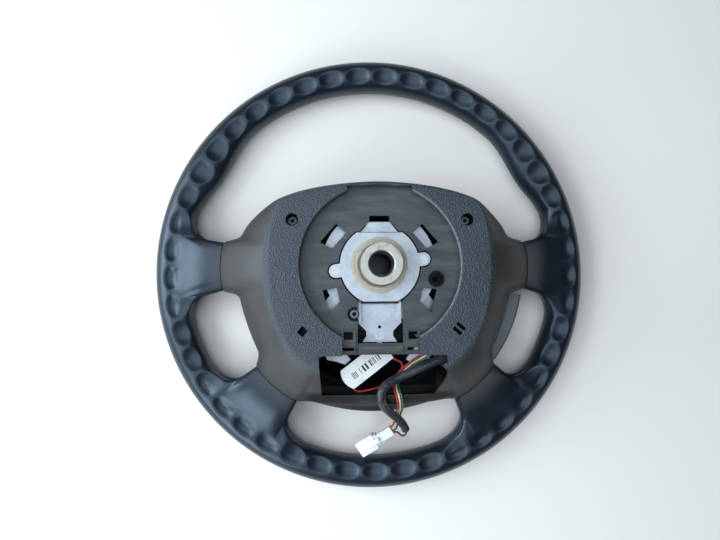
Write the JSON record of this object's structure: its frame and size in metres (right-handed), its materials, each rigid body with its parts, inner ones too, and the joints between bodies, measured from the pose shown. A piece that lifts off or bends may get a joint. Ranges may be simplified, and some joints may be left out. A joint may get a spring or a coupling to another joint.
{
  "type": "car steering wheel",
  "caption": "Steering wheel with scalloped rim, cast armature, rear cover, sprung airbag module for the horn and a thumb switch pod.",
  "frame": {"origin": "on the column axis, in the plane that the front of the rim rests on", "axes": "+Z along the column axis, away from the driver; +Y towards twelve o'clock; +X towards the driver's left"},
  "size_m": [0.385, 0.385, 0.108],
  "materials": {
    "rim_skin": "soft satin foam skin",
    "cast_metal": "as cast",
    "boss_steel": "turned, rust at the foot",
    "cover_plastic": "grained",
    "trim_plastic": "smooth satin",
    "airbag_skin": "fine grain",
    "black_screw": "black",
    "zinc_steel": "zinc plated",
    "spring_steel": "bright wire",
    "nylon": "natural nylon",
    "cushion_fabric": "woven",
    "plug_yellow": "smooth",
    "pod_grey": "satin paint",
    "key_black": "satin",
    "sleeve_black": "smooth vinyl",
    "wire_red": "smooth",
    "wire_cream": "smooth",
    "wire_green": "smooth",
    "wire_brown": "smooth",
    "connector_white": "smooth nylon",
    "paper": "paper"
  },
  "bodies": {
    "wheel": {"rim_skin": "rim_skin", "armature": "cast_metal", "hub_boss": "boss_steel", "rear_cover": "cover_plastic", "front_trim": "trim_plastic", "cover_screws": "black_screw", "bolt_bushes": "nylon", "switch_pod": "pod_grey", "rocker_pin": "spring_steel", "lead_clip": "sleeve_black", "lead_sleeve": "sleeve_black", "red_wire": "wire_red", "cream_wire": "wire_cream", "green_wire": "wire_green", "brown_wire": "wire_brown", "connector": "connector_white", "igniter_lead": "wire_red", "paper_tag": "paper"},
    "module": {"airbag_cover": "airbag_skin", "module_housing": "zinc_steel", "gas_generator": "zinc_steel", "cushion_retainer": "zinc_steel", "retainer_nuts": "zinc_steel", "folded_cushion": "cushion_fabric", "guide_bolts": "zinc_steel", "generator_plug": "plug_yellow", "horn_springs": "spring_steel"},
    "rocker": {"volume_rocker": "key_black"},
    "mode_key": {"mode_button": "key_black"},
    "mute_key": {"mute_button": "key_black"}
  },
  "joints": [
    {"name": "horn_press", "type": "slide", "parent": "wheel", "child": "module", "axis": [0, 0, 1], "range_m": [0, 0.0025], "stiffness_N_per_m": 16000, "springref_m": -0.003, "deforming": ["horn_springs"]},
    {"name": "rocker_tilt", "type": "hinge", "parent": "wheel", "child": "rocker", "pos_m": [0.11888, -0.03863, 0.0174], "axis": [0.9511, -0.309, 0], "range_deg": [-4, 4], "stiffness_Nm_per_rad": 0.2},
    {"name": "mode_press", "type": "slide", "parent": "wheel", "child": "mode_key", "axis": [0, 0, 1], "range_m": [0, 0.001], "stiffness_N_per_m": 800, "springref_m": -0.0005},
    {"name": "mute_press", "type": "slide", "parent": "wheel", "child": "mute_key", "axis": [0, 0, 1], "range_m": [0, 0.001], "stiffness_N_per_m": 800, "springref_m": -0.0005}
  ]
}
